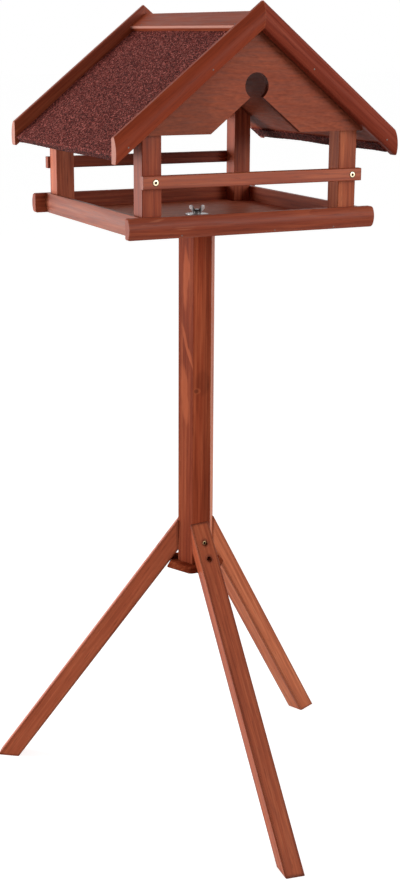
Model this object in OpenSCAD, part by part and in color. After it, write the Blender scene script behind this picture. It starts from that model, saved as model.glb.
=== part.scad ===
// Free-standing wooden bird feeder: a gabled shelter over a rimmed tray,
// bolted to the top of a hexagonal pole on three splayed legs.
// Millimetres, +Z up, the ground is z = 0 and the open gable end faces -Y.

/* [Pole] */
// Width of the hexagonal pole across its flats
pole_flats = 47; // [36:0.5:60]
// Length of the pole, from the plate under it to the tray
pole_l = 505; // [350:1:800]
// Turn of the pole under the shelter, counter-clockwise seen from above
pole_turn = -6; // [-20:0.5:20]
// Width of the bevelled plate under the pole across its upper flats
plate_flats = 67; // [62:0.5:80]
// Thickness of that plate
plate_t = 9; // [5:0.5:15]

/* [Legs] */
// Width of a leg, across its screw holes
leg_w = 28; // [20:0.5:34]
// Depth of a leg, from its upper to its under side
leg_t = 28; // [20:0.5:32]
// Angle of the legs above the ground
leg_pitch = 55; // [50:0.5:62]
// Distance of a foot's outer edge from the pole's axis
foot_reach = 319.5; // [280:0.5:380]
// Width of the blunt nose at the top of a leg
leg_nose = 1.5; // [1:0.5:6]
// Sideways lean of the front leg on its pole face, its foot counter-clockwise seen from above
front_leg_lean = 4.5; // [-8:0.1:8]
// Sideways lean of the left leg on its pole face, its foot counter-clockwise seen from above
left_leg_lean = -2.7; // [-8:0.1:8]
// Sideways lean of the right leg on its pole face, its foot counter-clockwise seen from above
right_leg_lean = 2.1; // [-8:0.1:8]
// Rounding of a leg's long edges
leg_edge_r = 2; // [0.5:0.5:5]
// Diameter of the sunk screw holes in the legs
leg_hole_d = 7; // [5:0.5:9]
// Depth of the upper screw hole below the top of the leg
leg_hole_drop = 26; // [18:1:28]
// Distance between the two screw holes of a leg
leg_hole_pitch = 20; // [14:1:20]
// Wood left between the bottom of a screw hole and the pole
leg_hole_seat = 8; // [5:0.5:12]

/* [Tray] */
// Clear width between the side rims
tray_w = 313; // [240:1:420]
// Clear depth between the front and back rims
tray_d = 324; // [240:1:420]
// Thickness of the floor panel
floor_t = 6; // [4:0.5:12]
// Height of the rims, from the underside of the floor
rim_h = 27.5; // [20:0.5:45]
// Thickness of the front and back rims
end_rim_t = 13; // [9:0.5:20]
// Thickness of the side rims
side_rim_t = 8.5; // [7:0.5:15]
// Reach of the front and back rims past the clear width, on each side
rim_overrun = 23.5; // [18:0.5:40]
// Fall of the front and back rims' crowned face at its edges
rim_crown = 5.5; // [1:0.5:8]
// Fall of the side rims' crowned face at its edges
side_rim_crown = 3; // [1:0.5:5]
// Rounding of the ends of the front and back rims
rim_end_r = 3; // [1:0.5:6]

/* [Posts and rails] */
// Width of the square corner posts
post_w = 27; // [20:0.5:40]
// Rounding of the posts' long edges
post_edge_r = 1.5; // [0.5:0.5:4]
// Height of a rail
rail_h = 16.5; // [10:0.5:30]
// Thickness of a rail
rail_t = 9.5; // [6:0.5:14]
// Height of a rail's lower edge above the rims
rail_rise = 35; // [20:1:60]
// Reach of a rail past the posts, on each side
rail_overrun = 2.8; // [0:0.1:6]
// Rounding of a rail's outer edges
rail_edge_r = 1.5; // [0.5:0.5:4]

/* [Gables] */
// Thickness of the gable panels
gable_t = 8; // [5:0.5:14]
// Height of a gable's lower edge above the rails
gable_rise = 49; // [30:1:80]
// Height of a gable panel at the posts' outer faces
gable_heel = 3; // [2:0.5:10]
// Width of the triangular cut-out at a gable's lower edge
cut_w = 130; // [110:1:150]
// Diameter of the round hole at the top of the cut-out
keyhole_d = 33.6; // [28:0.1:40]
// Height of the round hole's centre above a gable's lower edge
keyhole_rise = 58.5; // [54:0.5:64]

/* [Roof] */
// Pitch of the roof
roof_pitch = 38.5; // [34:0.5:44]
// Thickness of the roof panels
roof_t = 8; // [5:0.5:14]
// Thickness of the felt
felt_t = 2; // [1.5:0.5:4]
// Level reach of the felt past the posts' outer faces
eave_overhang = 46; // [38:0.5:60]
// Gap between a gable panel and the barge boards
verge_gap = 6; // [3:0.5:15]
// Reach of the felt that is turned in under each eave, along the slope
felt_return = 20; // [10:1:30]
// Rounding of the felt where it bends round the eave
felt_bend_r = 3; // [1:0.5:4]
// Thickness of the barge boards
barge_t = 14; // [9:0.5:20]
// Height of the barge boards, measured plumb
barge_h = 34.5; // [26:0.5:45]
// Level reach of the barge boards past the felt
barge_overrun = 0.8; // [0:0.1:6]
// Fall of a barge board's crowned face at its upper edge
barge_crown = 7; // [2:0.5:8.5]
// Height of the fullest line of that face above the lower edge
barge_full = 11.5; // [8:0.5:18]
// Rounding of a barge board's upper back edge
barge_edge_r = 2; // [0.5:0.5:4]
// Rounding of a barge board's lower front edge
barge_front_r = 6; // [2:0.5:8]
// Rounding of the upper corner of a barge board's lower end
barge_end_r = 3; // [1:0.5:8]
// Rounding of the lower corner of a barge board's lower end
barge_tip_r = 1.5; // [0.5:0.5:4]
// Thickness of the ridge strips
ridge_t = 7.5; // [5:0.5:12]
// Width of the ridge strips, along the slope
ridge_w = 30; // [22:0.5:45]
// Rounding of the ridge strips' lower edge
ridge_edge_r = 3.5; // [1:0.5:4]

/* [Fixing] */
// Diameter of the stud that holds the tray to the pole
stud_d = 6; // [5:0.5:8]
// Length of the stud in the pole
stud_embed = 40; // [25:1:80]
// Reach of the stud above the washer
stud_rise = 6.5; // [6.5:0.5:14]
// Diameter of the washer
washer_d = 32; // [20:0.5:40]
// Thickness of the washer
washer_t = 1.6; // [1:0.1:3]
// Spread of the wing nut over both wings
wing_spread = 22; // [20:0.5:40]
// Diameter of the rounded top of a wing
wing_lobe_d = 6; // [4:0.5:7]
// Height of the wing nut
wing_h = 12; // [10:0.5:18]
// Diameter of the wing nut's boss at its foot
wing_boss_d = 11; // [10:0.5:16]
// Height of the wing nut's boss
wing_boss_h = 5.5; // [4:0.5:6.5]
// Thickness of a wing
wing_t = 2.6; // [2:0.1:4]
// Turn of the wing nut
wing_turn = -18; // [-90:1:90]
// Clearance round the stud
stud_gap = 0.3; // [0.1:0.1:1]

/* [Hidden] */

$fn = 48;
// Overshoot of cutting shapes
cut = 1;
// Sides of the pole
pole_sides = 6;
// Least gap between a leg's underside and the plate
plate_gap = 0.3;

wood = [0.53, 0.26, 0.18];
felt = [0.43, 0.23, 0.20];
zinc = [0.74, 0.75, 0.76];

// Pole and legs
pole_in_r = pole_flats / 2;
pole_out_r = pole_in_r / cos(180 / pole_sides);
foot_l = leg_t / sin(leg_pitch);
leg_top_z = (foot_reach - pole_in_r - leg_nose) * tan(leg_pitch);
leg_long = foot_reach / cos(leg_pitch);
// A leg leans about the middle between its two screws
lean_z = leg_top_z - leg_hole_drop - leg_hole_pitch / 2;
widest_lean = max(abs(front_leg_lean), abs(left_leg_lean), abs(right_leg_lean));
// The plate's bevel lies along the legs' undersides, which sets the height of the pole's lower end
plate_in_r = plate_flats / 2;
plate_low_r = plate_in_r + plate_t / tan(leg_pitch);
pole_clear = tan(leg_pitch) * (foot_reach - foot_l - plate_in_r - plate_gap)
    - leg_w * sin(widest_lean);

// Levels, from the ground up
tray_z = pole_clear + pole_l;
floor_z = tray_z + floor_t;
rim_z = tray_z + rim_h;
rail_z = rim_z + rail_rise;
gable_z = rail_z + rail_h + gable_rise;

// Half sizes of the shelter
half_w = tray_w / 2;
half_d = tray_d / 2;
rim_half = half_w + rim_overrun;
rail_half = half_w + rail_overrun;
verge_y = half_d + gable_t + verge_gap;
eave_x = half_w + eave_overhang;
barge_x = eave_x + barge_overrun;

// Height of the roof panels' underside on the ridge line
ridge_z = gable_z + gable_heel + half_w * tan(roof_pitch);
// Height of the felt's upper side above the roof panels' underside
felt_lift = roof_t + felt_t;
// Reach of the felt from the ridge line down the slope
slope_l = (eave_x - felt_lift * sin(roof_pitch)) / cos(roof_pitch);

// Bearing of each leg's pole face, counter-clockwise from the front
front_face = pole_turn;
left_face = pole_turn - 120;
right_face = pole_turn + 120;

function bearing(a) = [sin(a), -cos(a)];
// Radius of a crowned face that falls back by "crown" at the edge farther from its fullest line
function crown_r(h, full, crown) =
    let (reach = max(full, h - full)) (reach * reach + crown * crown) / (2 * crown);
// Reach of a foot's rounded outline in the direction d, from the pole's axis
function foot_support(face, lean, d) =
    let (u = bearing(face), v = [-u[1], u[0]], du = u * d, dv = v * d,
         out = foot_reach - foot_l / 2 + lean_z * (1 / cos(lean) - 1) / tan(leg_pitch),
         wide = dv / cos(lean) + du * tan(lean) / tan(leg_pitch), deep = du / sin(leg_pitch))
    out * du + lean_z * tan(lean) * dv + (leg_w / 2 - leg_edge_r) * abs(wide)
        + (leg_t / 2 - leg_edge_r) * abs(deep) + leg_edge_r * norm([wide, deep]);
function feet_reach(d) = max(
    foot_support(front_face, front_leg_lean, d),
    foot_support(left_face, left_leg_lean, d),
    foot_support(right_face, right_leg_lean, d));
roof_y = verge_y + barge_t;
// The origin lies under the middle of the whole feeder
centre_x = (max(barge_x, feet_reach([1, 0])) - max(barge_x, feet_reach([-1, 0]))) / 2;
centre_y = (max(roof_y, feet_reach([0, 1])) - max(roof_y, feet_reach([0, -1]))) / 2;

// Moves a piece from the pole's axis to the feeder's own frame
module placed() translate([-centre_x, -centre_y, 0]) children();

// Waste to cut from a square corner at the origin that opens along +X and +Y
module corner_waste(r) difference() {
    translate([-cut, -cut]) square(r + cut);
    translate([r, r]) circle(r);
}

// Rectangle about the Y axis, standing on y = 0; low and high are its corner radii
module rounded_rect(w, h, low, high) difference() {
    translate([-w / 2, 0]) square([w, h]);
    for (side = [0, 1]) mirror([side, 0]) {
        translate([-w / 2, 0]) corner_waste(low);
        translate([-w / 2, h]) mirror([0, 1]) corner_waste(high);
    }
}

// Waste to cut from a corner at c between edges that run along the unit vectors p and q
module bend_waste(c, p, q, r) {
    half = acos(p * q) / 2;
    mid = (p + q) / norm(p + q);
    hub = c + mid * r / sin(half);
    run = r / tan(half);
    difference() {
        polygon([c - mid * cut, c + p * run, hub, c + q * run]);
        translate(hub) circle(r);
    }
}

// Board section with its back along x = 0 and a crowned face towards -X; the face is fullest at
// the height "full" and falls back by "crown" at the edge farther from it
module crowned(t, h, full, crown) {
    r = crown_r(h, full, crown);
    intersection() {
        translate([-t, 0]) square([t, h]);
        translate([r - t, full]) circle(r);
    }
}

// Stands an elevation drawn in X and Z on edge, from y to y + t
module upright(y, t) translate([0, y + t, 0]) rotate([90, 0, 0]) linear_extrude(t) children();

// Lays a section drawn as [across, up] along X, centred, l long
module along_x(l) rotate([90, 0, 90]) translate([0, 0, -l / 2]) linear_extrude(l) children();

// Same piece on the other side of the ridge, or at the other end
module handed(side) mirror([side > 0 ? 0 : 1, 0, 0]) children();
module ended(end) mirror([0, end > 0 ? 1 : 0, 0]) children();

module hexagon(r) rotate(pole_turn) circle(r, $fn = pole_sides);

module pole() color(wood) placed() difference() {
    translate([0, 0, pole_clear]) linear_extrude(pole_l) hexagon(pole_out_r);
    translate([0, 0, tray_z - stud_embed])
        cylinder(d = stud_d + 2 * stud_gap, h = stud_embed + cut);
}

module base_plate() color(wood) placed() translate([0, 0, pole_clear - plate_t])
    linear_extrude(plate_t, scale = plate_in_r / plate_low_r)
        hexagon(plate_low_r / cos(180 / pole_sides));

// A straight leg from the pole face out along +Y, with its plumb cut against that face, its square
// top and its two sunk screw holes
module leg_blank() difference() {
    intersection() {
        translate([0, foot_reach - pole_in_r, 0]) rotate([90 - leg_pitch, 0, 0]) mirror([0, 1, 0])
            translate([0, 0, -leg_long]) linear_extrude(3 * leg_long)
                rounded_rect(leg_w, leg_t, leg_edge_r, leg_edge_r);
        translate([-leg_long, 0, -leg_long]) cube([2 * leg_long, 2 * leg_long, leg_long + leg_top_z]);
    }
    for (i = [0, 1])
        translate([0, leg_hole_seat, leg_top_z - leg_hole_drop - i * leg_hole_pitch])
            rotate([-90, 0, 0]) cylinder(d = leg_hole_d, h = foot_reach);
}

// A leg on its pole face, leaning sideways there, with its foot cut level
module leg(face, lean) color(wood) placed() rotate(face + 180) intersection() {
    translate([0, pole_in_r, lean_z]) rotate([0, lean, 0]) translate([0, 0, -lean_z]) leg_blank();
    translate([-leg_long, 0, 0]) cube(2 * leg_long);
}
module front_leg() leg(front_face, front_leg_lean);
module left_leg() leg(left_face, left_leg_lean);
module right_leg() leg(right_face, right_leg_lean);

module floor_panel() color(wood) placed() difference() {
    translate([-half_w, -half_d, tray_z]) cube([tray_w, tray_d, floor_t]);
    translate([0, 0, tray_z - cut]) cylinder(d = stud_d + 2 * stud_gap, h = floor_t + 2 * cut);
}

// Front or back rim: a crowned board that runs past the corners, with slightly rounded ends
module end_rim(end) color(wood) placed() ended(end) intersection() {
    translate([0, -half_d, tray_z]) along_x(2 * rim_half + cut)
        crowned(end_rim_t, rim_h, rim_h / 2, rim_crown);
    translate([0, 0, tray_z]) upright(-half_d - end_rim_t - cut, end_rim_t + 2 * cut)
        rounded_rect(2 * rim_half, rim_h, rim_end_r, rim_end_r);
}
module front_rim() end_rim(-1);
module back_rim() end_rim(1);

// Side rim, a crowned board butted between the front and back rims
module side_rim(side) color(wood) placed() handed(side)
    translate([half_w, half_d, tray_z]) rotate([90, 0, 0]) linear_extrude(tray_d) mirror([1, 0])
        crowned(side_rim_t, rim_h, rim_h / 2, side_rim_crown);
module left_rim() side_rim(-1);
module right_rim() side_rim(1);

// Space under the roof panels, between y = -l / 2 and l / 2
module under_roof(l) upright(-l / 2, l)
    polygon([[-eave_x, 0], [eave_x, 0], [eave_x, ridge_z - eave_x * tan(roof_pitch)],
             [0, ridge_z], [-eave_x, ridge_z - eave_x * tan(roof_pitch)]]);

// Corner post on the floor, cut to the roof's slope at its top
module post(side, end) color(wood) placed() handed(side) ended(end) intersection() {
    translate([half_w - post_w / 2, -half_d, floor_z]) linear_extrude(ridge_z)
        rounded_rect(post_w, post_w, post_edge_r, post_edge_r);
    under_roof(tray_d + cut);
}
module front_left_post() post(-1, -1);
module front_right_post() post(1, -1);
module back_left_post() post(-1, 1);
module back_right_post() post(1, 1);

// Rail screwed to the posts' outer faces
module rail(end) color(wood) placed() ended(end) translate([0, -half_d - rail_t, rail_z])
    rotate([90, 0, 90]) translate([0, 0, -rail_half]) linear_extrude(2 * rail_half) difference() {
        square([rail_t, rail_h]);
        corner_waste(rail_edge_r);
        translate([0, rail_h]) mirror([0, 1]) corner_waste(rail_edge_r);
    }
module front_rail() rail(-1);
module back_rail() rail(1);

// Gable panel with its triangular cut-out, which runs parallel to the roof up to a round hole
module gable(end) color(wood) placed() ended(end) difference() {
    intersection() {
        under_roof(2 * verge_y);
        translate([-eave_x, -half_d - gable_t, gable_z]) cube([2 * eave_x, gable_t, ridge_z]);
    }
    upright(-half_d - gable_t - cut, gable_t + 2 * cut) {
        translate([0, gable_z]) polygon([
            [-cut_w / 2, 0], [-cut_w / 2, -cut], [cut_w / 2, -cut], [cut_w / 2, 0],
            [0, cut_w / 2 * tan(roof_pitch)]]);
        translate([0, gable_z + keyhole_rise]) circle(d = keyhole_d);
    }
}
module front_gable() gable(-1);
module back_gable() gable(1);

// Right slope in X and Z, cut plumb on the ridge line: children lie along it from the ridge line
// down, and above the roof panels' underside
module on_slope() intersection() {
    translate([0, ridge_z]) rotate(-roof_pitch) children();
    square([2 * eave_x, 2 * ridge_z]);
}

// Layer of a slope, from "low" to "high" and from "upper" to "lower" along it
module layer(low, high, upper, lower) translate([upper, low]) square([lower - upper, high - low]);

module roof_panel(side) color(wood) placed() handed(side) upright(-verge_y, 2 * verge_y)
    on_slope() layer(0, roof_t, -slope_l, slope_l - felt_t);
module left_roof_panel() roof_panel(-1);
module right_roof_panel() roof_panel(1);

// Felt over a roof panel, bent round the eave and turned in under it
module roof_felt(side) color(felt) placed() handed(side) upright(-verge_y, 2 * verge_y)
    on_slope() difference() {
        union() {
            layer(roof_t, felt_lift, -slope_l, slope_l);
            layer(-felt_t, felt_lift, slope_l - felt_t, slope_l);
            layer(-felt_t, 0, slope_l - felt_return, slope_l);
        }
        translate([slope_l, felt_lift]) mirror([1, 1]) corner_waste(felt_bend_r);
        translate([slope_l, -felt_t]) mirror([1, 0]) corner_waste(felt_bend_r);
    }
module left_felt() roof_felt(-1);
module right_felt() roof_felt(1);

// Ridge strip on the felt, with its lower edge rounded
module ridge_strip(side) color(wood) placed() handed(side) upright(-verge_y, 2 * verge_y) {
    edge = ridge_w - (felt_lift + ridge_t) * tan(roof_pitch);
    on_slope() difference() {
        layer(felt_lift, felt_lift + ridge_t, -ridge_w, edge);
        translate([edge, felt_lift + ridge_t]) mirror([1, 1]) corner_waste(ridge_edge_r);
    }
}
module left_ridge_strip() ridge_strip(-1);
module right_ridge_strip() ridge_strip(1);

// Barge board: a crowned section along the slope, mitred plumb at the ridge and cut plumb at
// its lower end
module barge(side, end) color(wood) placed() handed(side) ended(end) intersection() {
    depth = barge_h * cos(roof_pitch);
    run = 2 * barge_x / cos(roof_pitch);
    down = [cos(roof_pitch), -sin(roof_pitch)];
    top_z = ridge_z + barge_h;
    end_z = ridge_z - barge_x * tan(roof_pitch);
    face_r = crown_r(depth, barge_full, barge_crown);
    face_lean = asin(barge_full / face_r);
    front = [face_r - barge_t - face_r * cos(face_lean), 0];
    translate([0, -verge_y, ridge_z]) rotate([0, roof_pitch, 0]) along_x(run) difference() {
        crowned(barge_t, depth, barge_full, barge_crown);
        translate([0, depth]) mirror([1, 1]) corner_waste(barge_edge_r);
        bend_waste(front, [1, 0], [-sin(face_lean), cos(face_lean)], barge_front_r);
    }
    upright(-roof_y - cut, barge_t + 2 * cut) difference() {
        polygon([[0, ridge_z - cut], [0, top_z + cut], [barge_x, end_z + barge_h + cut],
                 [barge_x, end_z - cut]]);
        bend_waste([barge_x, end_z + barge_h], -down, [0, -1], barge_end_r);
        bend_waste([barge_x, end_z], -down, [0, 1], barge_tip_r);
    }
}
module front_left_barge() barge(-1, -1);
module front_right_barge() barge(1, -1);
module back_left_barge() barge(-1, 1);
module back_right_barge() barge(1, 1);

module stud() color(zinc) placed() translate([0, 0, tray_z - stud_embed])
    cylinder(d = stud_d, h = stud_embed + floor_t + washer_t + stud_rise);

module washer() color(zinc) placed() translate([0, 0, floor_z]) difference() {
    cylinder(d = washer_d, h = washer_t);
    translate([0, 0, -cut]) cylinder(d = stud_d + 2 * stud_gap, h = washer_t + 2 * cut);
}

// Wing nut: a tapered boss with two rounded wings that lean outwards
module wing_nut() color(zinc) placed() translate([0, 0, floor_z + washer_t]) rotate(wing_turn)
    difference() {
        union() {
            cylinder(d1 = wing_boss_d, d2 = wing_boss_d - wing_t, h = wing_boss_h);
            lobe_r = wing_lobe_d / 2;
            for (side = [0, 1]) mirror([side, 0, 0]) upright(-wing_t / 2, wing_t) {
                translate([wing_spread / 2 - lobe_r, wing_h - lobe_r]) circle(lobe_r);
                polygon([[stud_d / 2, cut], [wing_boss_d / 2, cut],
                         [wing_spread / 2, wing_h - lobe_r],
                         [wing_spread / 2 - 2 * lobe_r, wing_h - lobe_r],
                         [stud_d / 2, wing_boss_h]]);
            }
        }
        translate([0, 0, -cut]) cylinder(d = stud_d + 2 * stud_gap, h = wing_h + 2 * cut);
    }

pole();
base_plate();
front_leg();
left_leg();
right_leg();
floor_panel();
front_rim();
back_rim();
left_rim();
right_rim();
front_left_post();
front_right_post();
back_left_post();
back_right_post();
front_rail();
back_rail();
front_gable();
back_gable();
left_roof_panel();
right_roof_panel();
left_felt();
right_felt();
front_left_barge();
front_right_barge();
back_left_barge();
back_right_barge();
left_ridge_strip();
right_ridge_strip();
stud();
washer();
wing_nut();
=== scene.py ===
"""Looks of a stained wooden bird feeder on a three-legged stand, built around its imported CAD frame.

Lengths are in metres, in the frame of the CAD model: +Z up, the house's front towards -Y.
"""

import math
import random

import bmesh
import bpy
import numpy as np
from mathutils import Matrix, Vector


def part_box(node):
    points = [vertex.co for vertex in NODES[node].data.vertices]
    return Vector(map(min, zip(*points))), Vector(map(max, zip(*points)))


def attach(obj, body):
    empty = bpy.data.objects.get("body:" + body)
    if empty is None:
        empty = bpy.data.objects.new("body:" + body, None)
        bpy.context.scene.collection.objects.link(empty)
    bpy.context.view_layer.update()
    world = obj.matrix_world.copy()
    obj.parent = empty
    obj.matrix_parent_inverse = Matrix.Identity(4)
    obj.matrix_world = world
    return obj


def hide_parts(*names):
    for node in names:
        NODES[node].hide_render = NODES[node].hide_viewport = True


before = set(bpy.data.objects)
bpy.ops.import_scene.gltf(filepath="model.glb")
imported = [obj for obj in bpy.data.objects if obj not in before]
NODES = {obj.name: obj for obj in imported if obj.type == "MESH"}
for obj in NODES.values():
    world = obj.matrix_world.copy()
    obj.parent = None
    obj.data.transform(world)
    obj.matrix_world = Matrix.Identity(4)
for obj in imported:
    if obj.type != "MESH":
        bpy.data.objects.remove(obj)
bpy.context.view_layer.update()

# Directions
ACROSS = Vector((1, 0, 0))
DEEP = Vector((0, 1, 0))
UP = Vector((0, 0, 1))

# The photograph's camera, as fitted to the CAD model: from the pole's axis and the ground
CAMERA_FROM_POLE = (-0.90009, -1.82115, 1.10905)
CAMERA_YAW = math.radians(26.47)
CAMERA_PITCH = math.radians(15.64)
CAMERA_ROLL = math.radians(0.31)
FOCAL_PX = 1443.1
PHOTO_LONG_PX = 880
SENSOR_MM = 36

# Sizes of the CAD model that its boxes do not give
ROOF_PITCH = math.radians(38.5)
LEG_PITCH = math.radians(55)
RIDGE_Z = 1.1175      # roof panels' underside on the ridge line
ROOF_T = 0.008
FELT_T = 0.002
FELT_REACH = 0.2508   # from the ridge line down the slope
FELT_RETURN = 0.020
FELT_BEND = 0.003
RIDGE_T = 0.0075
BARGE_CROWN_R = 0.0207
BARGE_FULL = 0.0115   # a barge board's fullest line, above the roof panels' underside
RIM_CROWN_R = 0.0199
STUD_R = 0.003
POLE_TURN = -6        # in degrees, under the house
POLE_IN_R = 0.0235    # from the pole's axis to its faces
# Each leg's pole face, in degrees from the front, and the leg's sideways lean on it
LEGS = {"front_leg": (0, 4.5), "left_leg": (-120, -2.7), "right_leg": (120, 2.1)}
LEAN_Z = 0.3846       # height between a leg's two screws
SCREW_SPOTS = ((0.010, 0.0165), (-0.010, 0.0110))   # above that height, and out from the pole face


def tone(red, green, blue):
    """A colour given as sRGB, 0 to 255, in the linear values that shaders take."""
    parts = [c / 255 for c in (red, green, blue)]
    linear = [c / 12.92 if c <= 0.04045 else ((c + 0.055) / 1.055) ** 2.4 for c in parts]
    return (*linear, 1.0)


# Colours
STAIN_DEEP = tone(124, 50, 28)
STAIN_MID = tone(146, 64, 38)
STAIN_LIGHT = tone(172, 86, 54)
# Pale wear, in spots, and a painted highlight along the moulded boards' edges
STAIN_WORN_AND_HIGHLIGHT = tone(190, 112, 80)
# Pale pink painted sheen, for the barges' plumb-cut ends and the ridge strips' noses
PAINTED_SHEEN = tone(214, 158, 142)
PORE = tone(72, 26, 15)
KNOT = tone(72, 24, 14)
VENEER_DEEP = tone(126, 54, 33)
VENEER_MID = tone(144, 67, 43)
VENEER_LIGHT = tone(160, 80, 53)
PLY_EDGE = tone(98, 42, 28)
FELT_DARK = tone(56, 18, 16)
FELT_MID = tone(100, 40, 35)
FELT_LIGHT = tone(158, 88, 80)
ZINC = tone(206, 206, 208)
BRASS = tone(242, 224, 190)
OLD_BRASS = tone(196, 166, 124)
STEEL = tone(120, 104, 98)
# Dark of dirt and painted shade, in recesses and round the wing nut's hub
GRIME_AND_SHADE = tone(38, 28, 24)
FLAME = tone(190, 98, 62)
WHITE = (1.0, 1.0, 1.0, 1.0)
# How much lighter, darker or browner than the rest some boards are, partly the stain they took and partly
# painted light and shade where they stand, such as the lit front-right and back-left posts, the shaded base
# plate and right barge, and the roof panels and back gable seen in the shade inside: red, green and blue
TONES_AND_PAINTED_LIGHT = {
    "left_ridge_strip": (0.80, 0.80, 0.80), "right_ridge_strip": (0.80, 0.80, 0.80),
    "front_leg": (1.30, 1.55, 1.60), "left_leg": (1.74, 2.20, 2.50), "right_leg": (1.95, 2.98, 3.50),
    "front_rail": (1.18, 1.30, 1.30), "front_rim": (0.88, 0.86, 0.88), "left_rim": (0.88, 1.0, 1.04),
    "front_left_post": (0.95, 0.93, 0.93), "front_right_post": (1.30, 1.60, 1.60),
    "back_left_post": (1.40, 1.70, 2.0),
    "front_left_barge": (0.88, 0.76, 0.72), "front_right_barge": (0.77, 0.69, 0.90),
    "base_plate": (0.72, 0.76, 0.80), "floor_panel": (1.75, 2.2, 2.5), "back_gable": (1.08, 0.78, 0.82),
    "left_roof_panel": (0.85, 0.85, 0.85), "right_roof_panel": (0.74, 0.78, 0.90),
}
PLAIN = (1.0, 1.0, 1.0)
# How much of the grain's contrast shows on boards where it is weaker
CALM = {
    "front_leg": 0.6, "left_leg": 0.4, "right_leg": 0.5, "left_ridge_strip": 0.5, "right_ridge_strip": 0.5,
    "front_rim": 0.65, "left_rim": 0.7, "front_rail": 0.8, "front_left_post": 0.8, "front_right_post": 0.7,
    "front_left_barge": 0.35, "front_right_barge": 0.65,
}
# How glossy some pieces are, and then the other ones
GLOSS = {
    "pole": 0.06, "base_plate": 0.0, "front_leg": 0.11, "left_leg": 0.10, "right_leg": 0.05,
    "left_ridge_strip": 0.08, "right_ridge_strip": 0.08, "left_rim": 0.30, "right_rim": 0.30,
    "front_rail": 0.28, "front_left_barge": 0.09, "front_right_barge": 0.05,
    "floor_panel": 0.10, "left_roof_panel": 0.03, "right_roof_panel": 0.03,
}
PINE_GLOSS = 0.16
PLY_GLOSS = 0.14
FELT_GLOSS = 0.08

# How often a feature of the pine repeats in a metre: along the grain, and across it both ways
PINE_SWAY = (2.2, 16, 16)
PINE_FLAME = (4, 45, 45)
PINE_STREAK = (7, 200, 200)
PINE_FIBRE = (18, 560, 560)
PINE_PORES = (40, 800, 800)
RING_SPACING = 0.0065
# The pine's figure: shares of flame, rings and streak, and where the stain is deep, middling and light
FIGURE_SHARES = (0.40, 0.10, 0.50)
FIGURE_DEEP, FIGURE_MID, FIGURE_LIGHT = 0.37, 0.49, 0.64
# The same of the plywood's veneer, and the thickness of two of its plies
PLY_HILL = (3.2, 17, 3)
PLY_FIBRE = (30, 300, 40)
PLY_PORES = (55, 520, 100)
PLY_MOTTLE = (140, 420, 60)
PLY_PAIR_T = 0.0032
# How the felt's granules, their lots and its slow drift of colour repeat in a metre
FELT_GRAINS = 640.0
FELT_LOTS = 600.0
FELT_DRIFT = 9.0

# Colour along edges, a painted highlight with some wear on moulded boards and darker arrises on the others:
# reach, likeness of rounded and true normals off and on the edge, least and most strength
MOULDED_EDGE = (0.0022, 0.98, 0.80, 0.1, 0.5)
LEG_EDGE = (0.0068, 0.995, 0.92, 0.7, 1.0)
SAWN_EDGE = (0.003, 0.98, 0.80, 0.4, 0.8)
# Strength of the painted sheen on the barges' plumb-cut ends, of the deeper stain on square-cut ends, and of
# the painted highlight on the ridge strips' noses
PLUMB_END_SHEEN = 0.48
SQUARE_END = 0.30
RIDGE_NOSE_SHEEN = 0.55

# Spots on a board: along it from its middle, across it, half lengths of both, and slant
MARKS = {"front_rim": [(-0.147, -0.0085, 0.018, 0.0016, -0.2), (-0.1025, 0.0005, 0.016, 0.0030, 0.0)]}
# Painted light on the gables: a soft pool of light right of the keyhole, darker away from it, placed and sized
# as the spots above
GABLE_LIGHT_POOL = (0.050, 0.022, 0.125, 0.075)
# The pole's figure: colour, strength and spot of three flames, a shadow, and a knot with its ring
POLE_SPOTS = [
    (FLAME, 0.70, (0.171, -0.0212, 0.046, 0.0022, 0.0)),
    (FLAME, 0.70, (0.074, -0.0204, 0.034, 0.0013, -0.139)),
    (FLAME, 0.70, (0.003, -0.0224, 0.046, 0.0030, -0.035)),
    (PORE, 0.24, (0.021, -0.001, 0.020, 0.013)),
    (FLAME, 0.40, (0.0100, -0.0100, 0.0050, 0.0062)),
    (KNOT, 0.55, (0.0100, -0.0112, 0.0036, 0.0036)),
]
# Painted light and shade across the pole, from its left corner at 0 to its right one at 1: lighter towards the
# left, darker right of the middle, and a pale painted sheen along the right side
POLE_WIDE = 0.0542
POLE_LIGHT_AND_SHADE = [(0.19, 0.92), (0.22, 1.12), (0.40, 1.16), (0.61, 0.80), (0.70, 0.82)]
POLE_SHEEN_SIDE = (0.72, (1.80, 2.60, 2.95, 1))
# Painted shade on the roof panels' undersides, where the roof shades them: two places up the slope from the
# middle, and the shade at each
SOFFIT_PAINTED_SHADE = (-0.12, -0.03, 1.05, 0.56)

# Lamps, by place and power, and the levels of the white studio and its floor
LAMPS = {"right_key": ((1.35, -2.60, 1.60), 41), "left_rear": ((-2.4, 1.70, 0.85), 84)}
LAMP_AIM = Vector((0, 0, 0.8))
LAMP_SIZE = 1.6
STUDIO_LIGHT = 0.40
STUDIO_SEEN = 1.0
FLOOR_GLOW = 0.78
FLOOR_GREY = tone(194, 194, 194)
FLOOR_HALF = 40

# Relief of the felt: distance between its points, height of its grit, and of its slow waves
FELT_STEP = 0.0016
GRIT = 0.00018
WAVES = 0.00022
# Screws: radius of the head, and the recess's floor from the seat
RAIL_SCREW = (0.0039, 0.0001)
LEG_SCREW = (0.0031, -0.0024)
RAIL_SCREW_X = {"left": -0.142, "right": 0.1455}
# How far the screws are turned: a rail's by its place, a leg's two by a start and a step
RAIL_SCREW_TURN = 400
LEG_SCREW_TURNS = (0.7, 1.9)
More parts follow.
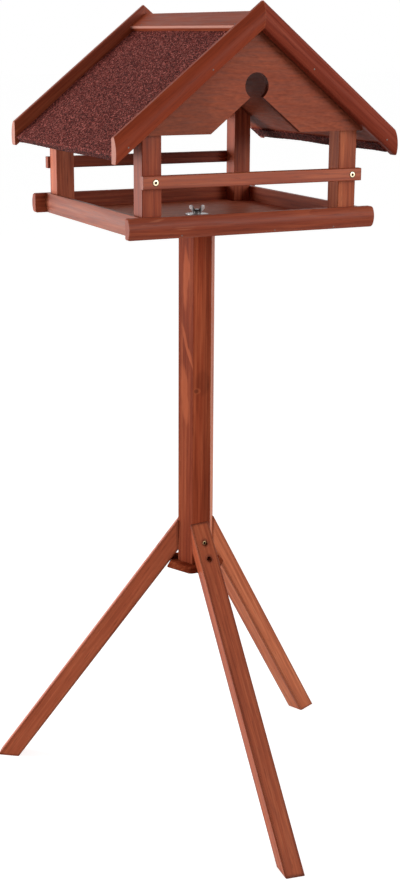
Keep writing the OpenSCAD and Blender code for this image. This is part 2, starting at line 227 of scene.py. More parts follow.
# Nails: radius of their heads, and their places on the barge boards, ridge strips and rims
NAIL_R = 0.0011
BARGE_NAILS_DOWN = (0.0865, 0.2325)
BARGE_NAILS_LIFT = 0.007
RIDGE_NAILS_DOWN = 0.0118
RIDGE_NAILS_IN = (0.030, 0.034)   # from the front end and from the back end
RIM_NAILS_X = (-0.106, 0.0287, 0.118)
RIM_NAILS_UP = 0.0032
# The stud's thread, and the rounding of edges on some CAD nodes
THREAD_PITCH = 0.001
THREAD_DEEP = 0.0006
SOFT_EDGES = {"wing_nut": 0.0007, "washer": 0.0004, "base_plate": 0.0028, "pole": 0.0012}
# Dirt and painted shade in the screws' recesses and round their seats, and painted shade round the wing nut's
# hub: dark at the first distance, clean at the second
RAIL_SCREW_DIRT_AND_SHADE = (0.00015, 0.0004)
LEG_SCREW_DIRT_AND_SHADE = (0.0001, 0.0005)
WING_NUT_HUB_SHADE = (0.0042, 0.0085)


# Shader building


class Graph:
    """The node tree of a material or a world, with short ways to add the nodes that are used."""

    def __init__(self, owner):
        owner.use_nodes = True
        self.owner = owner
        self.tree = owner.node_tree
        self.tree.nodes.clear()

    def add(self, kind, put, out=0, **settings):
        """Adds a node, feeds its inputs from values or sockets, and returns one output."""
        node = self.tree.nodes.new("ShaderNode" + kind)
        for key, value in settings.items():
            setattr(node, key, value)
        for key, value in put.items():
            if isinstance(value, bpy.types.NodeSocket):
                self.tree.links.new(value, node.inputs[key])
            else:
                node.inputs[key].default_value = value
        return node.outputs[out] if node.outputs else None

    def math(self, operation, a, b=0.0):
        return self.add("Math", {0: a, 1: b}, operation=operation)

    def stretch(self, vector, by):
        return self.add("VectorMath", {0: vector, 1: by}, operation="MULTIPLY")

    def shift(self, vector, by):
        return self.add("VectorMath", {0: vector, 1: by}, operation="ADD")

    def noise(self, vector, scale=1.0, detail=2.0, roughness=0.5):
        put = {"Vector": vector, "Scale": scale, "Detail": detail, "Roughness": roughness}
        return self.add("TexNoise", put)

    def span(self, value, low, high, start=0.0, end=1.0):
        """Value, taken smoothly from the range low to high onto start to end."""
        put = {"Value": value, "From Min": low, "From Max": high, "To Min": start, "To Max": end}
        return self.add("MapRange", put, interpolation_type="SMOOTHSTEP")

    def ramp(self, factor, *stops):
        node_out = self.add("ValToRGB", {"Fac": factor})
        elements = node_out.node.color_ramp.elements
        elements[0].position, elements[0].color = stops[0]
        elements[1].position, elements[1].color = stops[-1]
        for place, colour in stops[1:-1]:
            elements.new(place).color = colour
        return node_out

    def mix(self, factor, a, b, blend="MIX"):
        put = {0: factor, 6: a, 7: b}
        return self.add("Mix", put, out=2, data_type="RGBA", blend_type=blend)

    def darken(self, colour, factor, low, high):
        """Colour times a grey that goes from low to high with factor."""
        grey = self.ramp(factor, (0.0, (low, low, low, 1)), (1.0, (high, high, high, 1)))
        return self.mix(1.0, colour, grey, "MULTIPLY")

    def bump(self, height, depth, strength=1.0):
        return self.add("Bump", {"Height": height, "Distance": depth, "Strength": strength})

    def edge(self, radius, flat, sharp):
        """1 along edges and 0 on flat faces, by the likeness of rounded and true normals on each."""
        rounded = self.add("Bevel", {"Radius": radius}, samples=4)
        true = self.add("NewGeometry", {}, out="Normal")
        facing = self.add("VectorMath", {0: rounded, 1: true}, out="Value", operation="DOT_PRODUCT")
        return self.span(facing, flat, sharp)

    def facing(self, direction):
        """How squarely a surface faces along a direction, either way: 0 to 1."""
        normal = self.add("NewGeometry", {}, out="Normal")
        put = {0: normal, 1: direction}
        along = self.add("VectorMath", put, out="Value", operation="DOT_PRODUCT")
        return self.math("ABSOLUTE", along)

    def seen(self):
        """1 to the camera, in reflections and through glass, and 0 to the light on the object."""
        kinds = ("Camera", "Glossy", "Transmission")
        camera, glossy, clear = (self.add("LightPath", {}, out=f"Is {kind} Ray") for kind in kinds)
        return self.math("MAXIMUM", self.math("MAXIMUM", camera, glossy), clear)

    def surface(self, **put):
        """Ends the tree in a Principled shader. Names use _ for the spaces of its sockets."""
        sockets = {key.replace("_", " "): value for key, value in put.items()}
        shader = self.add("BsdfPrincipled", sockets)
        self.add("OutputMaterial", {"Surface": shader})
        return self.owner


def material_graph(name):
    return Graph(bpy.data.materials.new(name))


def middle(node):
    low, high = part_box(node)
    return (low + high) / 2


POLE_CENTRE = middle("pole")


def board_space(graph, node, grain, thick, pith, lean):
    """Coordinates on a board: X along the grain, Z through the thickness, from the tree's pith."""
    along = grain.normalized()
    through = (thick - along * thick.dot(along)).normalized()
    side = through.cross(along)
    axes = Matrix((along, side, through))
    tilt = Matrix.Rotation(lean, 3, "Y")
    turn = tilt @ axes
    place = -(turn @ middle(node)) + Vector((0, *pith))
    position = graph.add("TexCoord", {}, out="Object")
    put = {"Vector": position, "Location": place, "Rotation": turn.to_euler("XYZ")}
    return graph.add("Mapping", put, vector_type="POINT")


def growth_rings(graph, board):
    """Growth rings round the pith, as a saw-tooth from 0 to 1, with the sway that timber has."""
    sway = graph.noise(graph.stretch(board, PINE_SWAY), detail=2)
    push = graph.math("MULTIPLY", graph.math("SUBTRACT", sway, 0.5), 0.020)
    across = graph.add("CombineXYZ", {"Y": push, "Z": push})
    bent = graph.shift(board, across)
    scale = 2 * math.pi / 20 / RING_SPACING
    put = {"Vector": bent, "Scale": scale, "Distortion": 0.0}
    settings = {"wave_type": "RINGS", "rings_direction": "X", "wave_profile": "SAW"}
    return graph.add("TexWave", put, out="Fac", **settings)


def spot(graph, board, along, aside, half_long, half_wide, slant=0.0):
    """1 in a long spot on a board's face, 0 outside it, with a soft rim."""
    x = graph.math("SUBTRACT", graph.add("SeparateXYZ", {0: board}, out="X"), along)
    y = graph.math("SUBTRACT", graph.add("SeparateXYZ", {0: board}, out="Y"), aside)
    y = graph.math("SUBTRACT", y, graph.math("MULTIPLY", x, slant))
    far_x = graph.math("POWER", graph.math("ABSOLUTE", graph.math("DIVIDE", x, half_long)), 2.0)
    far_y = graph.math("POWER", graph.math("ABSOLUTE", graph.math("DIVIDE", y, half_wide)), 2.0)
    return graph.span(graph.math("ADD", far_x, far_y), 1.25, 0.35)


def pole_figure(graph, colour):
    """Pale flames down one side of the pole, which bend round a small knot, with painted light and shade
    across its faces and a painted sheen on its right face.
    """
    board = board_space(graph, "pole", UP, DEEP, (0, 0), 0)
    aside = graph.add("SeparateXYZ", {0: board}, out="Y")
    place = graph.math("DIVIDE", graph.math("ADD", aside, POLE_WIDE / 2), POLE_WIDE)
    # Painted light and shade across the pole's faces, then the painted sheen of its right face
    greys = [(at, (grey, grey, grey, 1)) for at, grey in POLE_LIGHT_AND_SHADE]
    pole_light_ramp = graph.ramp(place, *greys, POLE_SHEEN_SIDE)
    colour = graph.mix(1.0, colour, pole_light_ramp, "MULTIPLY")
    wobble = graph.noise(graph.stretch(board, (30, 60, 60)), detail=2)
    push = graph.math("MULTIPLY", graph.math("SUBTRACT", wobble, 0.5), 0.004)
    board = graph.shift(board, graph.add("CombineXYZ", {"Y": push}))
    for shade, strength, where in POLE_SPOTS:
        colour = graph.mix(graph.math("MULTIPLY", spot(graph, board, *where), strength), colour, shade)
    return colour


def pine(node, grain, thick, seed):
    """Pine under a red-brown satin stain, its figure cut from a log of its own."""
    draw = random.Random(seed)
    side = draw.uniform(0, 2 * math.pi)
    away = draw.uniform(0.035, 0.075)
    pith = (away * math.cos(side), away * math.sin(side))
    graph = material_graph("pine_" + node)
    board = board_space(graph, node, grain, thick, pith, draw.uniform(-0.05, 0.05))
    far = graph.shift(board, (draw.uniform(-9, 9), draw.uniform(-9, 9), draw.uniform(-9, 9)))

    rings = growth_rings(graph, board)
    flame = graph.noise(graph.stretch(far, PINE_FLAME), detail=2)
    streak = graph.noise(graph.stretch(far, PINE_STREAK), detail=2, roughness=0.55)
    fibre = graph.noise(graph.stretch(far, PINE_FIBRE), detail=2, roughness=0.6)
    pores = graph.noise(graph.stretch(far, PINE_PORES), detail=1)

    parts = [graph.math("MULTIPLY", part, share) for part, share in zip((flame, rings, streak), FIGURE_SHARES)]
    figure = graph.math("ADD", graph.math("ADD", parts[0], parts[1]), parts[2])
    calm = CALM.get(node, 1.0)
    figure = graph.math("ADD", graph.math("MULTIPLY", figure, calm), FIGURE_MID * (1 - calm))
    stops = ((FIGURE_DEEP, STAIN_DEEP), (FIGURE_MID, STAIN_MID), (FIGURE_LIGHT, STAIN_LIGHT))
    colour = graph.ramp(figure, *stops)
    colour = graph.darken(colour, fibre, 0.70, 1.30)
    # Each board's own tone, partly its stain and partly painted light and shade where it stands
    colour = graph.mix(1.0, colour, (*TONES_AND_PAINTED_LIGHT.get(node, PLAIN), 1), "MULTIPLY")
    colour = graph.mix(graph.span(pores, 0.64, 0.72, 0, 0.35), colour, PORE)
    if node == "pole":
        colour = pole_figure(graph, colour)
    for mark in MARKS.get(node, ()):
        face = board_space(graph, node, grain, thick, (0, 0), 0)
        rubbed = graph.math("MULTIPLY", spot(graph, face, *mark), graph.span(streak, 0.3, 0.6, 0, 0.5))
        colour = graph.mix(rubbed, colour, STAIN_WORN_AND_HIGHLIGHT)
    # Barges: a painted sheen on their plumb-cut ends; other boards: deeper stain on the end grain
    if node.endswith("barge"):
        ends = graph.span(graph.facing(ACROSS), 0.75, 0.95, 0, PLUMB_END_SHEEN)
        colour = graph.mix(ends, colour, PAINTED_SHEEN)
    else:
        ends = graph.span(graph.facing(grain.normalized()), 0.75, 0.95, 0, SQUARE_END)
        colour = graph.mix(ends, colour, STAIN_DEEP)
    moulded = node.endswith(("rim", "barge", "strip"))
    kind = MOULDED_EDGE if moulded else LEG_EDGE if node in LEGS else SAWN_EDGE
    reach, flat, sharp, least, most = kind
    # Moulded boards: a painted highlight along their rounded edges, with some wear; other boards: darker
    # arrises
    edges = graph.math("MULTIPLY", graph.edge(reach, flat, sharp), graph.span(fibre, 0.35, 0.7, least, most))
    colour = graph.mix(edges, colour, STAIN_WORN_AND_HIGHLIGHT if moulded else PORE)
    # Painted highlight along the ridge strips' rounded noses
    if node.endswith("ridge_strip"):
        nose_sheen = graph.span(graph.facing(ACROSS), 0.80, 0.97, 0, RIDGE_NOSE_SHEEN)
        colour = graph.mix(nose_sheen, colour, PAINTED_SHEEN)

    rough = graph.span(fibre, 0.2, 0.8, 0.36, 0.54)
    height = graph.math("ADD", graph.math("MULTIPLY", rings, 0.25), fibre)
    normal = graph.bump(height, 0.00030, 0.35)
    put = {"Base_Color": colour, "Roughness": rough, "Normal": normal}
    return graph.surface(Specular_IOR_Level=GLOSS.get(node, PINE_GLOSS), **put)


def plywood(node, grain, thick, seed):
    """Thin plywood under the same stain: rotary-cut veneer outside, plies along its cut edges."""
    draw = random.Random(seed)
    graph = material_graph("plywood_" + node)
    board = board_space(graph, node, grain, thick, (0, 0), 0)
    far = graph.shift(board, (draw.uniform(-9, 9), draw.uniform(-9, 9), 0))

    hill = graph.noise(graph.stretch(far, PLY_HILL), detail=2, roughness=0.45)
    contour = graph.math("FRACT", graph.math("MULTIPLY", hill, 15))
    fibre = graph.noise(graph.stretch(far, PLY_FIBRE), detail=3, roughness=0.6)
    pores = graph.noise(graph.stretch(far, PLY_PORES), detail=1)

    stops = ((0.0, VENEER_DEEP), (0.3, VENEER_MID), (0.8, VENEER_LIGHT), (1.0, VENEER_DEEP))
    waves = graph.ramp(contour, *stops)
    flat = graph.ramp(hill, (0.3, VENEER_MID), (0.7, VENEER_LIGHT))
    colour = graph.mix(0.72, waves, flat)
    mottle = graph.noise(graph.stretch(far, PLY_MOTTLE), detail=2)
    colour = graph.darken(colour, fibre, 0.66, 1.34)
    colour = graph.darken(colour, mottle, 0.62, 1.38)
    # Each sheet's own tone, partly its stain and partly painted light and shade where it stands
    colour = graph.mix(1.0, colour, (*TONES_AND_PAINTED_LIGHT.get(node, PLAIN), 1), "MULTIPLY")
    if node.endswith("gable"):
        # Painted light: a soft pool of light on the gable, darker away from it
        lit_pool = spot(graph, board, *GABLE_LIGHT_POOL)
        colour = graph.darken(colour, lit_pool, 0.66, 0.96)
    if node.endswith("roof_panel"):
        # Painted shade under the roof, changing up the slope
        rise = graph.add("SeparateXYZ", {0: board}, out="Y")
        low, high, low_shade, high_shade = SOFFIT_PAINTED_SHADE
        colour = graph.darken(colour, graph.span(rise, low, high), low_shade, high_shade)
    colour = graph.mix(graph.span(pores, 0.62, 0.74, 0, 0.25), colour, PORE)
    depth = graph.add("SeparateXYZ", {0: board}, out="Z")
    ply = graph.math("FRACT", graph.math("MULTIPLY", depth, 1 / PLY_PAIR_T))
    layers = graph.ramp(graph.span(ply, 0.42, 0.58), (0.0, PORE), (1.0, PLY_EDGE))
    cut = graph.span(graph.facing(thick.normalized()), 0.7, 0.4)
    colour = graph.mix(cut, colour, layers)

    rough = graph.span(fibre, 0.2, 0.8, 0.40, 0.60)
    normal = graph.bump(graph.math("ADD", fibre, contour), 0.00025, 0.3)
    put = {"Base_Color": colour, "Roughness": rough, "Normal": normal}
    return graph.surface(Specular_IOR_Level=GLOSS.get(node, PLY_GLOSS), **put)


def roofing_felt():
    """Red-brown mineral granules pressed into bitumen felt."""
    graph = material_graph("roofing_felt")
    place = graph.add("TexCoord", {}, out="Object")
    cell = graph.add("TexVoronoi", {"Vector": place, "Scale": FELT_LOTS}, out="Color")
    lot = graph.add("SeparateColor", {0: cell}, out=0)
    grains = graph.noise(place, scale=FELT_GRAINS, detail=1)
    drift = graph.noise(place, scale=FELT_DRIFT, detail=3)
    colour = graph.ramp(lot, (0.10, FELT_DARK), (0.60, FELT_MID), (0.98, FELT_LIGHT))
    colour = graph.darken(colour, graph.span(grains, 0.25, 0.75), 0.12, 1.98)
    colour = graph.darken(colour, drift, 0.85, 1.12)
    # Painted shade: darker where the felt faces down, on its return under the eave
    outward = graph.add("NewGeometry", {}, out="Normal")
    upward = graph.add("SeparateXYZ", {0: outward}, out="Z")
    colour = graph.darken(colour, graph.span(upward, -0.2, -0.6), 1.0, 0.50)
    rough = graph.span(grains, 0.2, 0.8, 0.7, 0.95)
    normal = graph.bump(grains, 0.0012, 0.6)
    put = {"Base_Color": colour, "Roughness": rough, "Normal": normal}
    return graph.surface(Specular_IOR_Level=FELT_GLOSS, **put)


def plated_metal(name, colour, dull, dirt_and_shade=None, hub_shade=None):
    """Bright plating with handling marks and a little dullness in patches, dark with dirt and painted shade in
    recesses and with painted shade round a hub.

    Dirt and painted shade in recesses: two heights in the object, dark at the first and clean at the second.
    Painted shade round a hub: a point on its upright axis, and two distances from that axis in the same way.
    """
    graph = material_graph(name)
    place = graph.add("TexCoord", {}, out="Object")
    patch = graph.noise(place, scale=160.0, detail=4, roughness=0.65)
    scratch = graph.noise(graph.stretch(place, (900, 900, 120)), detail=2)
    tint = graph.darken(colour, patch, 0.72, 1.12)
    # Dirt and painted shade: darker below a height, in a screw's recess and round its seat
    if dirt_and_shade:
        dark, clean = dirt_and_shade
        height = graph.add("SeparateXYZ", {0: place}, out="Z")
        tint = graph.mix(graph.span(height, dark, clean), GRIME_AND_SHADE, tint)
    # Painted shade round the wing nut's hub, between its wings
    if hub_shade:
        centre, (dark, clean) = hub_shade
        flat = graph.stretch(graph.shift(place, -centre), (1, 1, 0))
        out = graph.add("VectorMath", {0: flat}, out="Value", operation="LENGTH")
        tint = graph.mix(graph.span(out, dark, clean), GRIME_AND_SHADE, tint)
    rough = graph.span(patch, 0.25, 0.75, dull, dull + 0.22)
    normal = graph.bump(scratch, 0.00008, 0.4)
    return graph.surface(Base_Color=tint, Metallic=1.0, Roughness=rough, Normal=normal)


# Which way the grain runs in each piece


def leg_frame(leg):
    """Out from the pole face that a leg is fixed to, sideways along that face, and the leg's lean."""
    face, lean = LEGS[leg]
    turn = math.radians(POLE_TURN + face)
    out = Vector((math.sin(turn), -math.cos(turn), 0))
    return out, UP.cross(out), math.radians(lean)


def leg_axis(leg):
    """Down along a leg, from the pole to its foot."""
    out, aside, lean = leg_frame(leg)
    fall = aside * math.sin(lean) - UP * math.cos(lean)
    return out * math.cos(LEG_PITCH) + fall * math.sin(LEG_PITCH)


def slope(side):
    """Up along the roof's slope on one side, and the slope's own normal."""
    sign = -1 if side == "left" else 1
    along = Vector((-sign * math.cos(ROOF_PITCH), 0, math.sin(ROOF_PITCH)))
    normal = Vector((sign * math.sin(ROOF_PITCH), 0, math.cos(ROOF_PITCH)))
    return along, normal


def dress(node, material):
    mesh = NODES[node].data
    mesh.materials.clear()
    mesh.materials.append(material)


def dress_wood():
    """Gives every wooden node its own board of pine or plywood."""
    boards = {"pole": (UP, DEEP), "base_plate": (ACROSS, UP)}
    for leg in ("front_leg", "left_leg", "right_leg"):
        boards[leg] = (leg_axis(leg), UP)
    for end in ("front", "back"):
        boards[end + "_rim"] = (ACROSS, DEEP)
        boards[end + "_rail"] = (ACROSS, DEEP)
        for side in ("left", "right"):
            boards[f"{end}_{side}_post"] = (UP, DEEP)
            boards[f"{end}_{side}_barge"] = (slope(side)[0], DEEP)
    for side in ("left", "right"):
        boards[side + "_rim"] = (DEEP, ACROSS)
        boards[side + "_ridge_strip"] = (DEEP, slope(side)[1])
    for seed, (node, (grain, thick)) in enumerate(boards.items()):
        dress(node, pine(node, grain, thick, seed))

    sheets = {"floor_panel": (ACROSS, UP)}
    for end in ("front", "back"):
        sheets[end + "_gable"] = (ACROSS, DEEP)
    for side in ("left", "right"):
        sheets[side + "_roof_panel"] = (DEEP, slope(side)[1])
    for seed, (node, (grain, thick)) in enumerate(sheets.items()):
        dress(node, plywood(node, grain, thick, seed))


# Stage


def build_camera():
    """The photograph's own view."""
    forward = Vector((
        math.sin(CAMERA_YAW) * math.cos(CAMERA_PITCH),
        math.cos(CAMERA_YAW) * math.cos(CAMERA_PITCH),
        -math.sin(CAMERA_PITCH),
    ))
    right = Vector((math.cos(CAMERA_YAW), -math.sin(CAMERA_YAW), 0))
    over = right.cross(forward)
    turn = Matrix((right, over, -forward)).transposed() @ Matrix.Rotation(CAMERA_ROLL, 3, "Z")
    data = bpy.data.cameras.new("photo_camera")
    data.sensor_width = SENSOR_MM
    data.lens = FOCAL_PX / PHOTO_LONG_PX * SENSOR_MM
    camera = bpy.data.objects.new("photo_camera", data)
    camera.matrix_world = Matrix.Translation(pole_axis(*CAMERA_FROM_POLE)) @ turn.to_4x4()
    bpy.context.scene.collection.objects.link(camera)
    bpy.context.scene.camera = camera


def soft_light(name, at, power):
    data = bpy.data.lights.new(name, "AREA")
    data.shape = "DISK"
    data.size = LAMP_SIZE
    data.energy = power
    light = bpy.data.objects.new(name, data)
    light.location = at
    light.rotation_euler = (LAMP_AIM - at).to_track_quat("-Z", "Y").to_euler()
    bpy.context.scene.collection.objects.link(light)


def build_lights():
    """Two soft lamps in a studio that is whiter to the eye than to the object."""
    for name, (at, power) in LAMPS.items():
        soft_light(name, Vector(at), power)
    graph = Graph(bpy.data.worlds.new("white_studio"))
    strength = graph.add("MapRange", {"Value": graph.seen(), "To Min": STUDIO_LIGHT, "To Max": STUDIO_SEEN})
    sky = graph.add("Background", {"Color": WHITE, "Strength": strength})
    graph.add("OutputWorld", {"Surface": sky})
    bpy.context.scene.world = graph.owner


def build_floor():
    """A pale floor that is white to the camera and still takes the object's shadow."""
    graph = material_graph("pale_floor")
    strength = graph.math("MULTIPLY", graph.seen(), FLOOR_GLOW)
    glow = graph.add("Emission", {"Color": WHITE, "Strength": strength})
    matt = graph.add("BsdfDiffuse", {"Color": FLOOR_GREY})
    graph.add("OutputMaterial", {"Surface": graph.add("AddShader", {0: glow, 1: matt})})
    rim = FLOOR_HALF
    mesh = bpy.data.meshes.new("floor")
    corners = [(-rim, -rim, 0), (rim, -rim, 0), (rim, rim, 0), (-rim, rim, 0)]
    mesh.from_pydata(corners, [], [(0, 1, 2, 3)])
    mesh.materials.append(graph.owner)
    floor = bpy.data.objects.new("floor", mesh)
    bpy.context.scene.collection.objects.link(floor)


# Pieces that the CAD model leaves out


def add_piece(name, mesh, material, replaced=()):
    """Puts a mesh into the scene as a piece of the feeder."""
    mesh.materials.append(material)
    piece = bpy.data.objects.new(name, mesh)
    bpy.context.scene.collection.objects.link(piece)
    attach(piece, "root")
    if replaced:
        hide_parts(*replaced)


def facing_out(at, outward):
    """Places a fastener at a point, its own +Z outward."""
    return Matrix.Translation(at) @ outward.to_track_quat("Z", "Y").to_matrix().to_4x4()


def pole_axis(x=0.0, y=0.0, z=0.0):
    """A point given from the pole's axis and the ground."""
    return Vector((POLE_CENTRE.x + x, POLE_CENTRE.y + y, z))


def on_slope(side, down, lift, y):
    """A point on a roof slope: down from the ridge line, and above the panels' underside."""
    sign = -1 if side == "left" else 1
    x = down * math.cos(ROOF_PITCH) + lift * math.sin(ROOF_PITCH)
    z = RIDGE_Z - down * math.sin(ROOF_PITCH) + lift * math.cos(ROOF_PITCH)
    return pole_axis(sign * x, y, z)


def arc(down, lift, radius, start, end, steps):
    """Points along an arc on the slope's section, with the way out of the sheet at each."""
    turns = [math.radians(start + (end - start) * i / steps) for i in range(steps + 1)]
    ways = [(math.cos(turn), math.sin(turn)) for turn in turns]
    return [(down + radius * out_down, lift + radius * out_up, out_down, out_up) for out_down, out_up in ways]


def straight(start, end, out):
    """Points from start to end, without the last one, and the way out of the sheet."""
    run = math.dist(start, end)
    count = max(1, round(run / FELT_STEP))
    mixes = [i / count for i in range(count)]
    return [(*(a + (b - a) * m for a, b in zip(start, end)), *out) for m in mixes]


def felt_section():
    """Outer side of the felt's section: down the slope, round the eave and in under it."""
    top = ROOF_T + FELT_T
    bend = FELT_REACH - FELT_BEND
    inner_end = FELT_REACH - FELT_RETURN
    points = straight((-top * math.tan(ROOF_PITCH), top), (bend, top), (0, 1))
    points += arc(bend, top - FELT_BEND, FELT_BEND, 90, 0, 4)
    points += straight((FELT_REACH, top - FELT_BEND), (FELT_REACH, FELT_BEND - FELT_T), (1, 0))[1:]
    points += arc(bend, FELT_BEND - FELT_T, FELT_BEND, 0, -90, 4)
    points += straight((bend, -FELT_T), (inner_end, -FELT_T), (0, -1))[1:]
    return points + [(inner_end, -FELT_T, 0, -1)]


def felt_sheet(side, material, seed):
    """Felt over one roof panel, with its granules as relief, closed all round."""
    section = felt_section()
    wide = len(section)
    low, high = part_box(side + "_felt")
    deep = round((high.y - low.y) / FELT_STEP) + 1
    rows = np.linspace(low.y - POLE_CENTRE.y, high.y - POLE_CENTRE.y, deep)
    draw = np.random.default_rng(seed)
    grit = draw.normal(0, GRIT, (deep, wide))
    across = np.arange(wide) * FELT_STEP
    wave = sum(
        WAVES * np.sin(np.outer(rows, np.ones(wide)) * a + across * b + c)
        for a, b, c in draw.uniform((9, 9, 0), (40, 40, 6), (4, 3))
    )
    lift = grit + wave

    points = []
    for row, y in enumerate(rows):
        for column, (down, up, out_down, out_up) in enumerate(section):
            rise = lift[row, column]
            points.append(on_slope(side, down + out_down * rise, up + out_up * rise, y))
    faces = [
        (r * wide + c, r * wide + c + 1, (r + 1) * wide + c + 1, (r + 1) * wide + c)
        for r in range(deep - 1) for c in range(wide - 1)
    ]
    inner = len(points)
    for y in (rows[0], rows[-1]):
        points += [on_slope(side, d - od * FELT_T, u - ou * FELT_T, y) for d, u, od, ou in section]
    last = (deep - 1) * wide
    for c in range(wide - 1):
        near, far = inner + c, inner + wide + c
        faces.append((near, far, far + 1, near + 1))
        faces.append((c + 1, c, near, near + 1))
        faces.append((last + c, last + c + 1, far + 1, far))
    faces.append([r * wide for r in range(deep)] + [inner + wide, inner])
    edge = [r * wide + wide - 1 for r in reversed(range(deep))]
    faces.append(edge + [inner + wide - 1, inner + 2 * wide - 1])
    name = side + "_felt_sheet"
    add_piece(name, closed_mesh(name, points, faces), material, [side + "_felt"])


def closed_mesh(name, points, faces):
    """A mesh with all its faces turned outward."""
    mesh = bpy.data.meshes.new(name)
    mesh.from_pydata(points, [], faces)
    work = bmesh.new()
    work.from_mesh(mesh)
    bmesh.ops.recalc_face_normals(work, faces=work.faces)
    work.to_mesh(mesh)
    work.free()
    return mesh


def lathe(name, profile, count=32):
    """A turned solid round Z: profile lists radius and height, from one point on the axis to another."""
    points = [(0, 0, profile[0][1])]
    for radius, height in profile[1:-1]:
        for i in range(count):
            turn = 2 * math.pi * i / count
            points.append((radius * math.cos(turn), radius * math.sin(turn), height))
    points.append((0, 0, profile[-1][1]))
    faces = []
    rings = len(profile) - 2
    for i in range(count):
        j = (i + 1) % count
        faces.append((0, 1 + j, 1 + i))
        for ring in range(rings - 1):
            base = 1 + ring * count
            faces.append((base + i, base + j, base + count + j, base + count + i))
        base = 1 + (rings - 1) * count
        faces.append((base + i, base + j, len(points) - 1))
    return closed_mesh(name, points, faces)


def cross_recess(size, top, floor):
    """A tapered cross to sink into a screw head."""
    arm, half = size / 2, size / 3.4
    plan = [(half, half), (half, arm), (-half, arm), (-half, half), (-arm, half), (-arm, -half),
            (-half, -half), (-half, -arm), (half, -arm), (half, -half), (arm, -half), (arm, half)]
    points = [(x * 1.1, y * 1.1, top) for x, y in plan] + [(x * 0.7, y * 0.7, floor) for x, y in plan]
    count = len(plan)
    faces = [list(range(count)), list(range(2 * count - 1, count - 1, -1))]
    faces += [(i, i + count, (i + 1) % count + count, (i + 1) % count) for i in range(count)]
    return closed_mesh("cross_recess", points, faces)


def screw_mesh(name, radius, floor):
    """A countersunk screw's head: a recess down to its floor, a rounded rim, and a thin ring round its seat
    that takes the dark of dirt and painted shade.
    """
    rim = radius * 0.12
    profile = [(0, -radius * 1.3), (radius * 0.45, -radius * 1.25), (radius * 0.5, -radius * 0.75),
               (radius * 1.16, -rim * 0.8), (radius * 1.18, -rim * 0.1), (radius * 1.10, rim * 0.2),
               (radius * 0.97, rim * 0.4), (radius * 0.93, rim * 0.9), (radius - rim * 1.6, rim * 1.3),
               (radius * 0.4, rim * 1.6), (0, rim * 1.7)]
    head = bpy.data.objects.new(name, lathe(name + "_blank", profile))
    tool = bpy.data.objects.new("cross_recess", cross_recess(radius * 1.15, radius * 0.4, floor))
    for item in (head, tool):
        bpy.context.scene.collection.objects.link(item)
    sink = head.modifiers.new("recess", "BOOLEAN")
    sink.object = tool
    sink.operation = "DIFFERENCE"
    view = bpy.context.evaluated_depsgraph_get()
    mesh = bpy.data.meshes.new_from_object(head.evaluated_get(view))
    for item in (head, tool):
        bpy.data.objects.remove(item)
    mesh.name = name
    return mesh


def rail_screws(material):
    """Two brass screws in each rail, as far from the posts' edges as in the photograph."""
    mesh = screw_mesh("rail_screw", *RAIL_SCREW)
    mesh.materials.append(material)
    for end, out in (("front", -DEEP), ("back", DEEP)):
        low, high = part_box(end + "_rail")
        face = low.y if end == "front" else high.y
        height = (low.z + high.z) / 2
        for side, x in RAIL_SCREW_X.items():
            at = pole_axis(x, 0, height)
            at.y = face
            add_screw(f"{end}_{side}_rail_screw", mesh, facing_out(at, out), x * RAIL_SCREW_TURN)


def add_screw(name, mesh, place, turn):
    piece = bpy.data.objects.new(name, mesh)
    piece.matrix_world = place @ Matrix.Rotation(turn, 4, "Z")
    bpy.context.scene.collection.objects.link(piece)
    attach(piece, "root")


def leg_screws(material):
    """Two sunk screws that hold each leg to the pole."""
    mesh = screw_mesh("leg_screw", *LEG_SCREW)
    mesh.materials.append(material)
    start, step = LEG_SCREW_TURNS
    for leg in LEGS:
        out, aside, lean = leg_frame(leg)
        for i, (up, seat) in enumerate(SCREW_SPOTS):
            at = pole_axis(z=LEAN_Z + up * math.cos(lean)) - aside * up * math.sin(lean)
            at += out * (POLE_IN_R + seat)
            add_screw(f"{leg}_screw_{i + 1}", mesh, facing_out(at, out), start + step * i)


def pin_nails(name, spots, material):
    """Small round nail heads, set a little into the wood, as one piece."""
    profile = [(0, -0.004), (NAIL_R * 0.5, -0.0038), (NAIL_R * 0.55, -0.0006), (NAIL_R, -0.0003),
               (NAIL_R * 0.97, 0.0001), (NAIL_R * 0.7, 0.0003), (0, 0.00036)]
    pin = lathe(name + "_pin", profile, 14)
    work = bmesh.new()
    for at, out in spots:
        copy = pin.copy()
        copy.transform(facing_out(at, out))
        work.from_mesh(copy)
        bpy.data.meshes.remove(copy)
    mesh = bpy.data.meshes.new(name)
    work.to_mesh(mesh)
    work.free()
    bpy.data.meshes.remove(pin)
    add_piece(name, mesh, material)


def crown(radius, offset):
    """How far a crowned face falls back at an offset from its fullest line, and its lean there."""
    return radius - math.sqrt(radius ** 2 - offset ** 2), offset / radius


def barge_nails(material):
    """Pins through the barge boards into the roof panels' edges."""
    back, lean = crown(BARGE_CROWN_R, BARGE_NAILS_LIFT - BARGE_FULL)
    spots = []
    for end, sign in (("front", -1), ("back", 1)):
        low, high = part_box(end + "_left_barge")
        face = low.y if sign < 0 else high.y
        for side in ("left", "right"):
            for down in BARGE_NAILS_DOWN:
                at = on_slope(side, down, BARGE_NAILS_LIFT, 0)
                at.y = face - sign * back
                spots.append((at, DEEP * sign + slope(side)[1] * lean))
    pin_nails("barge_nails", spots, material)


def ridge_nails(material):
    """Pins along the ridge strips' lower edges."""
    lift = ROOF_T + FELT_T + RIDGE_T
    spots = []
    for side in ("left", "right"):
        low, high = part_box(side + "_ridge_strip")
        near, far = RIDGE_NAILS_IN
        for y in (low.y + near, high.y - far):
            spots.append((on_slope(side, RIDGE_NAILS_DOWN, lift, y - POLE_CENTRE.y), slope(side)[1]))
    pin_nails("ridge_nails", spots, material)


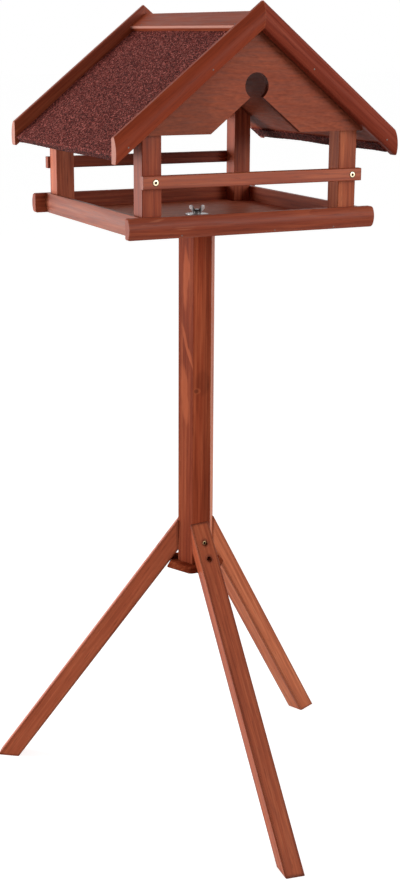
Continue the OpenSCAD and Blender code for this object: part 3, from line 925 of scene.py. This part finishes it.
def rim_nails(material):
    """Pins through the front and back rims into the floor panel."""
    spots = []
    for end, sign in (("front", -1), ("back", 1)):
        low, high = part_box(end + "_rim")
        face = low.y if sign < 0 else high.y
        height = low.z + RIM_NAILS_UP
        back, lean = crown(RIM_CROWN_R, height - (low.z + high.z) / 2)
        for x in RIM_NAILS_X:
            at = pole_axis(x, 0, height)
            at.y = face - sign * back
            spots.append((at, DEEP * sign + UP * lean))
    pin_nails("rim_nails", spots, material)


def threaded_stud(material):
    """The stud with its coarse thread."""
    low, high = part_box("stud")
    count, rows_per_turn = 24, 5
    rows = round((high.z - low.z) / THREAD_PITCH * rows_per_turn)
    points = []
    for row in range(rows + 1):
        z = low.z + (high.z - low.z) * row / rows
        for i in range(count):
            turn = 2 * math.pi * i / count
            phase = ((z - low.z) / THREAD_PITCH - i / count) % 1
            radius = STUD_R - THREAD_DEEP * abs(2 * phase - 1)
            points.append(pole_axis(radius * math.cos(turn), radius * math.sin(turn), z))
    faces = [
        (r * count + i, r * count + (i + 1) % count, (r + 1) * count + (i + 1) % count, (r + 1) * count + i)
        for r in range(rows) for i in range(count)
    ]
    faces.append(list(range(count)))
    faces.append(list(range(rows * count, (rows + 1) * count)))
    add_piece("threaded_stud", closed_mesh("threaded_stud", points, faces), material, ["stud"])


def soften_edges():
    """Rounds the pressed edges of the wing nut and the washer, and the sanded ones of the plate and pole."""
    for node, width in SOFT_EDGES.items():
        weld = NODES[node].modifiers.new("weld", "WELD")
        weld.merge_threshold = 0.00002
        bevel = NODES[node].modifiers.new("edges", "BEVEL")
        bevel.width = width
        bevel.segments = 2
        bevel.limit_method = "ANGLE"


def build_looks():
    dress_wood()
    felt = roofing_felt()
    for seed, side in enumerate(("left", "right")):
        dress(side + "_felt", felt)
        felt_sheet(side, felt, seed)
    zinc = plated_metal("bright_zinc", ZINC, 0.22)
    dress("stud", zinc)
    dress("washer", zinc)
    # Painted shade round the wing nut's hub, between its wings
    hub_shade = (middle("wing_nut"), WING_NUT_HUB_SHADE)
    dress("wing_nut", plated_metal("wing_nut_zinc", WHITE, 0.3, hub_shade=hub_shade))
    soften_edges()
    threaded_stud(zinc)
    rail_screws(plated_metal("yellow_plating", BRASS, 0.28, RAIL_SCREW_DIRT_AND_SHADE))
    leg_screws(plated_metal("dull_plating", OLD_BRASS, 0.4, LEG_SCREW_DIRT_AND_SHADE))
    steel = plated_metal("nail_steel", STEEL, 0.4)
    barge_nails(steel)
    ridge_nails(steel)
    rim_nails(steel)


build_camera()
build_lights()
build_floor()
build_looks()

bpy.context.scene.view_settings.view_transform = "Standard"
